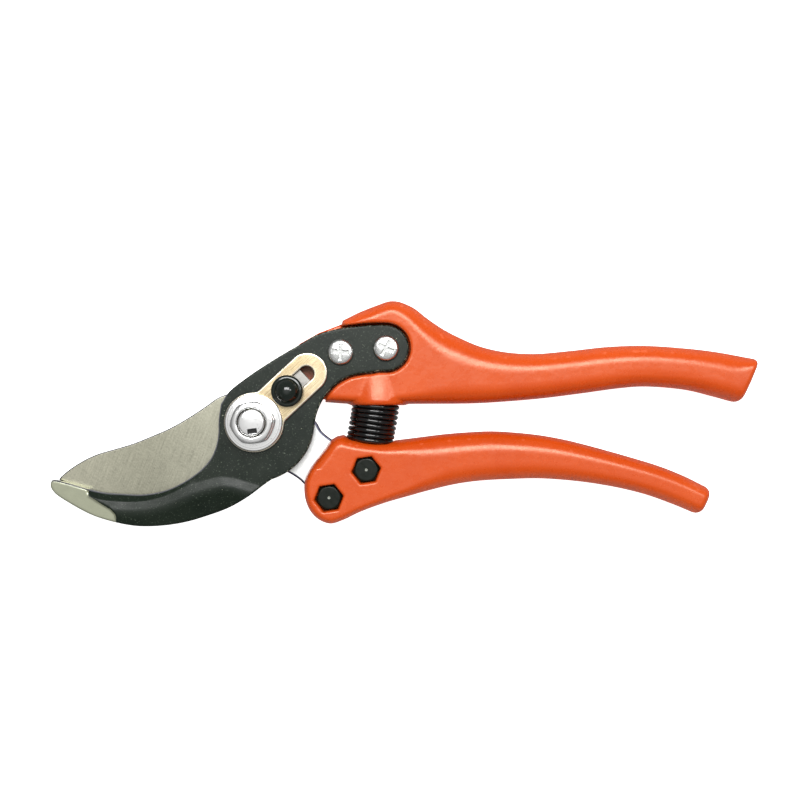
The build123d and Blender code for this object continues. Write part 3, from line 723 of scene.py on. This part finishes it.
def upper_field(x, y, z):
    """The upper handle: body, boss and tongue, less the plate's pocket, spring socket and relief."""
    body = handle_body(x, y, z, upper_shape, upper_roll(x, y), handle_front, handle_fullness)
    body = fillet_and(body, end_cut(x, y, *upper_end), 1.8)
    swell = np.clip(swell_start - y, 0, 10) * boss_swell
    boss = np.hypot(x - boss_middle, z - handle_middle) - boss_radius - swell
    boss = fillet_and(boss, np.maximum(boss_foot - y, y - boss_top), boss_rounding)
    boss = fillet_and(boss, 0.1 - z, 2.0)
    body = fillet_or(body, boss, 0.6)
    pocket = np.maximum(hook_shape(x, y) - plate_pocket_gap, hook_back - fit_gap - z)
    body = fillet_cut(body, pocket, 0.7)
    tongue = fillet_and(tongue_shape(x, y), slab(z, tongue_back, hook_back - fit_gap), 0.5)
    body = np.minimum(body, tongue)
    socket = np.maximum(np.hypot(x - boss_middle, z - handle_middle) - socket_radius, y - socket_floor)
    body = fillet_cut(body, socket, 0.4)
    u, v = turned(x, y, (0, 0), slide_angle)
    relief = all_of(u - relief_end, np.abs(v) - relief_half_width, tongue_back - z)
    return np.maximum(body, -relief)


upper = field_piece("upper_handle_cast", upper_field, (11.5, 3.5, -1.2), (155.5, 38.8, 17.6), 0.4,
                    orange, "hook_side", "orange_coat", "upper_handle")
# Where the tongue shows through the catch's slot, for the painted shade there.
write_measure(upper, "painted_slot_shade", lambda x, y, z: (track(x, y, 0, 25, slide_angle, 2.6) < 0) * (z > 2)
              * (z < hook_back + 0.5))

lower_nose = [(25.0, -4.3), (23.3, -5.4), (21.1, -8.4), (18.3, -12.0), (16.4, -14.9), (15.2, -17.8),
              (15.0, -20.9), (15.5, -24.2), (17.0, -27.4), (19.6, -29.9), (23.1, -31.1), (26.7, -30.1),
              (32.2, -27.5), (39.6, -24.8), (46.9, -22.7), (54.2, -20.7), (61.6, -19.0), (68.9, -18.0),
              (78.1, -17.5), (87.3, -17.3), (98.3, -18.1), (105.6, -19.1), (113.0, -20.5),
              (120.3, -22.4), (127.6, -25.0), (133.2, -27.3), (140.0, -30.3)]
lower_crest = [(145.0, -22.9), (138.8, -20.1), (131.3, -16.4), (124.0, -13.5), (116.6, -11.2),
               (109.3, -9.1), (102.0, -7.1), (94.6, -5.3), (87.3, -4.0), (79.9, -3.2), (72.6, -2.8),
               (65.3, -3.1), (57.9, -3.7), (50.6, -4.6), (45.1, -5.3), (39.6, -5.9), (34.1, -5.6),
               (28.6, -4.6), (27.0, -3.9)]
lower_shape = Outline(curve(lower_nose), curve(lower_crest), soften=50)
tang_shape = Outline([(10.0, -6.0), (22.8, -4.2), (27.3, -8.0), (36.0, -9.0), (39.6, -13.0),
                      (38.8, -17.6), (25.8, -28.2), (19.5, -30.5), (12.0, -27.0)])
foot, foot_lean = (35.1, -5.4), math.radians(7.0)
pocket_flats, pocket_turn, pocket_floor, back_pocket_floor = 7.6, 8.5, 10.3, 3.6
bolt_flats = 7.0
seat_radius, seat_depth, peg_radius, peg_height = 7.4, 0.8, 4.4, 3.4
lower_end = (139.4, -21.2), (136.2, -28.2)


def lower_field(x, y, z):
    """The lower handle: body and peg, less the bolt pockets, the tang's slot and the spring seat."""
    crest = y > np.interp(x, [46, 60, 80, 100, 120, 140], [-13.8, -11.4, -10.3, -12.2, -17.6, -25.6])
    roll = np.interp(x, [36, 46, 60], [3.6, 5.0, 9.5]) * np.where(crest, 1.0, tight_roll)
    body = handle_body(x, y, z, lower_shape, roll, handle_front, handle_fullness)
    body = fillet_and(body, end_cut(x, y, *lower_end), 2.2)
    for place in bolt_places:
        column = hexagon(x, y, place, pocket_flats, pocket_turn)
        body = fillet_cut(body, fillet_and(column, pocket_floor - z, 0.05), 0.55)
        body = fillet_cut(body, np.maximum(column, z - back_pocket_floor), 0.55)
    tang_slot = np.maximum(tang_shape(x, y), slab(z, blade_back - fit_gap, blade_front + fit_gap))
    body = np.maximum(body, -tang_slot)
    across, along = turned(x, y, foot, -foot_lean)
    around = np.hypot(across, z - handle_middle)
    peg = fillet_and(around - peg_radius, along - peg_height, 0.8)
    body = fillet_cut(body, all_of(around - seat_radius, -along, along - seat_radius), 0.5)
    groove = all_of(peg_radius - around, around - seat_radius, -along - seat_depth, along - seat_radius)
    return np.minimum(np.maximum(body, -groove), np.maximum(peg, -along - seat_depth))


field_piece("lower_handle_cast", lower_field, (13.5, -32.8, -1.2), (141.5, -1.6, 16.8), 0.4,
            orange, "blade_side", "orange_coat", "lower_handle")


# ---- return spring -------------------------------------------------------------------------
spring_axis = [(37.2, 10.4), (37.1, 7.6), (36.8, 4.6), (36.3, 1.0), (35.7, -2.2), (35.15, -5.55)]
spring_turns, spring_radius, wire_radius = 11.8, 6.6, 0.74
flat_turns = 0.5
turn_steps, wire_steps = 48, 12


def spring_surface():
    """Vertices, faces and blend weights of a closed coil around a gently bent axis."""
    axis = curve(spring_axis, 0.2)
    travel = np.concatenate([[0], np.cumsum(np.hypot(*np.diff(axis, axis=0).T))])
    turns = np.linspace(0, spring_turns, int(spring_turns * turn_steps) + 1)
    share = np.clip((turns - flat_turns) / (spring_turns - 2 * flat_turns), 0, 1)
    place = np.stack([np.interp(share * travel[-1], travel, axis[:, k]) for k in range(2)], 1)
    slope = np.gradient(axis, axis=0)
    ahead = np.stack([np.interp(share * travel[-1], travel, slope[:, k]) for k in range(2)], 1)
    ahead /= np.linalg.norm(ahead, axis=1)[:, None]
    side = np.stack([-ahead[:, 1], ahead[:, 0]], 1)
    turn = turns * 2 * math.pi
    outward = np.stack([side[:, 0] * np.cos(turn), side[:, 1] * np.cos(turn), np.sin(turn)], 1)
    along = np.stack([ahead[:, 0], ahead[:, 1], 0 * turn], 1)
    line = np.stack([place[:, 0], place[:, 1], 0 * turn + handle_middle], 1) + spring_radius * outward
    wire = np.linspace(0, 2 * math.pi, wire_steps, endpoint=False)
    rings = [line + wire_radius * (math.cos(a) * outward + math.sin(a) * along) for a in wire]
    vertices = np.stack(rings, 1).reshape(-1, 3)
    faces = []
    for ring in range(len(share) - 1):
        for step in range(wire_steps):
            a, b = ring * wire_steps + step, ring * wire_steps + (step + 1) % wire_steps
            faces.append((a, b, b + wire_steps, a + wire_steps))
    caps = [list(range(wire_steps))[::-1], [len(vertices) - wire_steps + k for k in range(wire_steps)]]
    return vertices, faces, caps, np.repeat(share, wire_steps)


spring_vertices, spring_faces, spring_caps, spring_share = spring_surface()
spring_mesh = bpy.data.meshes.new("return_spring_coil")
spring_mesh.from_pydata((spring_vertices * MM).tolist(), [], spring_faces + spring_caps)
spring_mesh.shade_smooth()
spring_mesh.materials.append(black_enamel)
spring = bpy.data.objects.new("return_spring_coil", spring_mesh)
bpy.context.scene.collection.objects.link(spring)
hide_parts("return_spring")
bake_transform(spring, "hook_side", "blade_side", start=(0.0371, 0.0104, 0.0078), end=(0.0352, -0.0055, 0.0078))
end_share = 0.6 / spring_turns
spring_weight = np.clip((spring_share - end_share) / (1 - 2 * end_share), 0, 1)
spring_mesh.attributes["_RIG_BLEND"].data.foreach_set("value", spring_weight.astype(np.float32))


# ---- pivot nut and bolt --------------------------------------------------------------------
nut_flats, nut_turn, flange_radius = 12.4, 7.0, 8.75
nut_corner_radius, nut_chamfer_radius, flange_edge, flange_rise, flange_slope = 6.6, 5.5, 1.0, 2.4, 0.15
pivot_head_flats, pivot_head_height, pivot_dome_radius = 13.0, 3.6, 22.0
bolt_mark_place, bolt_mark_turn, bolt_mark_depth = (0.35, -2.5), math.radians(8.0), 1.3


def nut_field(x, y, z):
    """The hexagon nut on its round, gently coned flange."""
    around = np.hypot(x, y)
    flange = fillet_and(around - flange_radius, slab(z, nut_back, nut_back + flange_edge), 0.3)
    cone = np.maximum(around * flange_slope + z - nut_back - flange_rise, nut_back - z)
    cone = np.maximum(cone, around - flange_radius + 0.3)
    flange = fillet_or(flange, cone, 0.4)
    chamfer = (around - nut_chamfer_radius) * 0.42 + (z - nut_front) * 0.9
    sides = fillet_and(hexagon(x, y, (0, 0), nut_flats, nut_turn), around - nut_corner_radius, 0.8)
    body = fillet_and(fillet_and(sides, slab(z, nut_back, nut_front), 0.4), chamfer, 0.3)
    nut = fillet_or(body, flange, 0.3)
    hole = np.minimum(around - 4.3, (around - 4.6) * 0.7 - (z - nut_front) * 0.7)
    return fillet_cut(nut, hole, 0.12)


def pivot_bolt_field(x, y, z):
    """The pivot bolt: hexagon head at the back and a domed end with a shallow mark."""
    around = np.hypot(x, y)
    dome = np.hypot(around, z - bolt_front + pivot_dome_radius) - pivot_dome_radius
    shank = fillet_and(around - pivot_radius, np.maximum(dome, -z), 0.5)
    head = fillet_and(hexagon(x, y, (0, 0), pivot_head_flats, 0.0), slab(z, 0, pivot_head_height), 0.25)
    chamfer = (around - 6.3) * 0.5 - z * 0.85
    mark = np.maximum(bar(x, y, bolt_mark_place, bolt_mark_turn, 2.7, 1.4), bolt_front - bolt_mark_depth - z)
    return np.minimum(np.maximum(shank, -mark), fillet_and(head, chamfer, 0.2))


nut = field_piece("pivot_nut_turned", nut_field, (-9.6, -9.6, nut_back - 0.5), (9.6, 9.6, nut_front + 0.5),
                  0.13, chrome, "hook_side", "chrome_steel", "pivot_nut")
write_measure(nut, "turning", lambda x, y, z: np.hypot(x, y))
bolt = field_piece("pivot_bolt_turned", pivot_bolt_field, (-8.1, -8.1, -0.5), (8.1, 8.1, bolt_front + 0.4),
                   0.15, chrome, "hook_side", "chrome_steel", "pivot_bolt")
write_measure(bolt, "mark", lambda x, y, z: (bar(x, y, bolt_mark_place, bolt_mark_turn, 2.8, 1.5) < 0)
              * (z > bolt_front - 2))


# ---- lock plate, catch and fasteners -------------------------------------------------------
lock_disc_radius, lock_arm_half_width, lock_arm_end = 9.15, 6.1, 22.1
lock_slot_start, lock_slot_end, lock_bore_radius = 13.2, 21.7, 4.1
knob_radius, knob_dome_radius, knob_rise, knob_slope = 4.85, 3.7, 2.5, 0.2


def lock_edge(x, y):
    """Distance outside the plate's outline and its slot."""
    arm = track(x, y, 0, lock_arm_end, slide_angle, lock_arm_half_width)
    edge = fillet_or(disc(x, y, (0, 0), lock_disc_radius), arm, 0.6)
    return np.maximum(edge, -track(x, y, lock_slot_start, lock_slot_end, slide_angle, slot_half_width))


def lock_field(x, y, z):
    """The slotted plate under the nut."""
    plate = fillet_and(lock_edge(x, y), slab(z, lock_back, lock_front), 0.4)
    return np.maximum(plate, -disc(x, y, (0, 0), lock_bore_radius))


lock = field_piece("lock_plate_pressed", lock_field, (-10.0, -10.0, lock_back - 0.4),
                   (23.5, 22.5, lock_front + 0.4), 0.14, gold, "hook_side", "gold_zinc", "lock_plate")
# Distance in from the outline, for the painted highlight along the plate's edges.
write_measure(lock, "rim", lambda x, y, z: -lock_edge(x, y))


def knob_field(x, y, z):
    """The catch's button: a low coned rim with a dome on it."""
    around = np.hypot(x - knob_place[0], y - knob_place[1])
    top = np.maximum(around * knob_slope + z - knob_back - knob_rise, knob_back - z)
    rim = fillet_and(around - knob_radius, top, 0.7)
    dome = np.hypot(around, z - knob_front + knob_dome_radius) - knob_dome_radius
    return fillet_or(rim, dome, 0.25)


low_corner, high_corner = Vector(knob_place) - Vector((5.4, 5.4)), Vector(knob_place) + Vector((5.4, 5.4))
field_piece("catch_knob_moulded", knob_field, (*low_corner, knob_back - 0.4),
            (*high_corner, knob_front + 0.4), 0.15, black_plastic, "catch", "black_plastic", "catch_knob")

screw_turns = [math.radians(-4.0), math.radians(62.0)]
head_radius, head_height, head_crown_radius, shank_radius = 3.95, 2.3, 9.5, 2.0
drive_length, drive_width, drive_depth = 5.0, 1.1, 0.8


def screw_drive(x, y, place, turn):
    """Distance outside a screw's cross."""
    return np.minimum(bar(x, y, place, turn, drive_length, drive_width),
                      bar(x, y, place, turn, drive_width, drive_length))


def screw_field(x, y, z, place, turn):
    """A pan head screw with a cross in its head."""
    around = np.hypot(x - place[0], y - place[1])
    crown_ball = np.hypot(around, z - hook_front - head_height + head_crown_radius) - head_crown_radius
    head = fillet_and(around - head_radius, np.maximum(crown_ball, hook_front - z), 0.75)
    recess = np.maximum(screw_drive(x, y, place, turn), hook_front + head_height - drive_depth - z)
    shank = np.maximum(around - shank_radius, slab(z, 1.85, hook_front + 0.3))
    return np.minimum(fillet_cut(head, recess, 0.12), shank)


for number, (place, turn) in enumerate(zip(screw_places, screw_turns), 1):
    screw = field_piece(f"pan_head_screw_{number}", lambda x, y, z: screw_field(x, y, z, place, turn),
                        (place[0] - 4.4, place[1] - 4.4, 1.4),
                        (place[0] + 4.4, place[1] + 4.4, hook_front + 2.8),
                        0.12, zinc, "hook_side", "zinc_steel", "upper_handle_screws")
    # Painted shade in the cross recess, part way to black.
    write_measure(screw, "mark", lambda x, y, z: 0.4 * (screw_drive(x, y, place, turn) < 0.05)
                  * (z < hook_front + head_height - 0.4) * (z > hook_front))


bolt_head_front, bolt_chamfer_radius, hex_nut_back, hex_nut_front = 13.8, 3.25, 0.5, 3.1


def hex_bolt_field(x, y, z, place):
    """A hexagon bolt with a small dimple in its head."""
    around = np.hypot(x - place[0], y - place[1])
    sides = hexagon(x, y, place, bolt_flats, pocket_turn)
    head = fillet_and(sides, slab(z, pocket_floor, bolt_head_front), 0.12)
    chamfer = (around - bolt_chamfer_radius) * 0.5 + (z - bolt_head_front) * 0.85
    head = fillet_and(head, chamfer, 0.1)
    dimple = np.hypot(around, z - bolt_head_front) - 0.3
    shank = np.maximum(around - shank_radius, slab(z, 0.55, 10.5))
    return np.minimum(np.maximum(head, -dimple), shank)


def hex_nut_field(x, y, z, place):
    """A hexagon nut in a back pocket."""
    around = np.hypot(x - place[0], y - place[1])
    sides = hexagon(x, y, place, bolt_flats, pocket_turn)
    nut = fillet_and(sides, slab(z, hex_nut_back, hex_nut_front), 0.15)
    chamfer = (around - bolt_chamfer_radius) * 0.5 + (hex_nut_back - z) * 0.85
    return fillet_cut(fillet_and(nut, chamfer, 0.1), around - 2.04, 0.25)


for number, place in enumerate(bolt_places, 1):
    hexagon_bolt = field_piece(f"hexagon_bolt_{number}", lambda x, y, z: hex_bolt_field(x, y, z, place),
                               (place[0] - 5, place[1] - 5, 0.2), (place[0] + 5, place[1] + 5, 14.2), 0.16,
                               black_oxide, "blade_side", "black_bolt", "lower_handle_bolts")
    # The small dimple in the middle of the head, which is coloured pale.
    write_measure(hexagon_bolt, "pale_dimple",
                  lambda x, y, z: (np.hypot(x - place[0], y - place[1]) < 0.4) * (z > 13))
    field_piece(f"hexagon_nut_{number}", lambda x, y, z: hex_nut_field(x, y, z, place),
                (place[0] - 5, place[1] - 5, 0.1), (place[0] + 5, place[1] + 5, 3.5), 0.16,
                zinc, "blade_side", "zinc_steel", "lower_handle_nuts")

for node, finish in {"catch_slider": plain_steel, "catch_washer": plain_steel,
                     "pivot_washer": plain_steel, "pivot_sleeve": bronze,
                     "lower_handle_washers": zinc}.items():
    materials = frame["nodes"][node].data.materials
    materials.clear()
    materials.append(finish)


# ---- floor, light and camera ---------------------------------------------------------------
def make_floor():
    """A plain white floor that glows enough to swallow its own shadows."""
    half, drop = 20.0, 0.0002
    mesh = bpy.data.meshes.new("floor")
    corners = [(-half, -half), (half, -half), (half, half), (-half, half)]
    mesh.from_pydata([(x, y, cad_low.z - drop) for x, y in corners], [], [(0, 1, 2, 3)])
    made = Finish("white_floor", (0.9, 0.9, 0.9), 0.0, 0.6)
    made.set("Emission Color", (1, 1, 1, 1))
    made.set("Emission Strength", 1.0)
    mesh.materials.append(made.material)
    floor = bpy.data.objects.new("floor", mesh)
    bpy.context.scene.collection.objects.link(floor)
    floor.visible_glossy = False


def make_light(name, place, width, depth, power, target):
    """A soft light aimed at a point. Lengths are in metres."""
    lamp = bpy.data.lights.new(name, "AREA")
    lamp.shape = "RECTANGLE"
    lamp.energy = power
    lamp.size = width
    lamp.size_y = depth
    light = bpy.data.objects.new(name, lamp)
    light.location = place
    light.rotation_euler = (Vector(target) - Vector(place)).to_track_quat("-Z", "Y").to_euler()
    bpy.context.scene.collection.objects.link(light)


def make_world():
    """A pale room, brightest overhead."""
    world = bpy.data.worlds.new("studio")
    world.use_nodes = True
    tree = world.node_tree
    direction = tree.nodes.new("ShaderNodeTexCoord")
    split = tree.nodes.new("ShaderNodeSeparateXYZ")
    level = tree.nodes.new("ShaderNodeMapRange")
    level.inputs["From Min"].default_value = 0.75
    level.inputs["From Max"].default_value = 0.99
    level.inputs["To Min"].default_value = room_low
    level.inputs["To Max"].default_value = room_high
    tree.links.new(direction.outputs["Generated"], split.inputs[0])
    tree.links.new(split.outputs["Z"], level.inputs["Value"])
    tree.links.new(level.outputs[0], tree.nodes["Background"].inputs["Strength"])
    tree.nodes["Background"].inputs["Color"].default_value = (1, 1, 1, 1)
    bpy.context.scene.world = world


def make_camera():
    """Straight above the shears, very near their middle. Lengths are in metres."""
    centre = (cad_low + cad_high) / 2
    height = 0.42
    view_half_width = 0.1231
    right, up = -0.0007, 0.0041
    data = bpy.data.cameras.new("camera")
    data.lens = data.sensor_width / 2 * height / view_half_width
    data.clip_start = 0.01
    camera = bpy.data.objects.new("camera", data)
    camera.location = (centre.x + right, centre.y + up, hook_back * MM + height)
    bpy.context.scene.collection.objects.link(camera)
    bpy.context.scene.camera = camera


make_floor()
room_low, room_high = 0.25, 0.9
make_world()
aim = (0.045, 0.003, 0.008)
make_light("key", (0.045, 0.26, 0.6), 0.5, 0.23, 4.3, aim)
make_light("side", (0.38, 0.12, 0.5), 0.12, 0.12, 0.4, aim)
make_camera()
bpy.context.scene.view_settings.view_transform = "Standard"
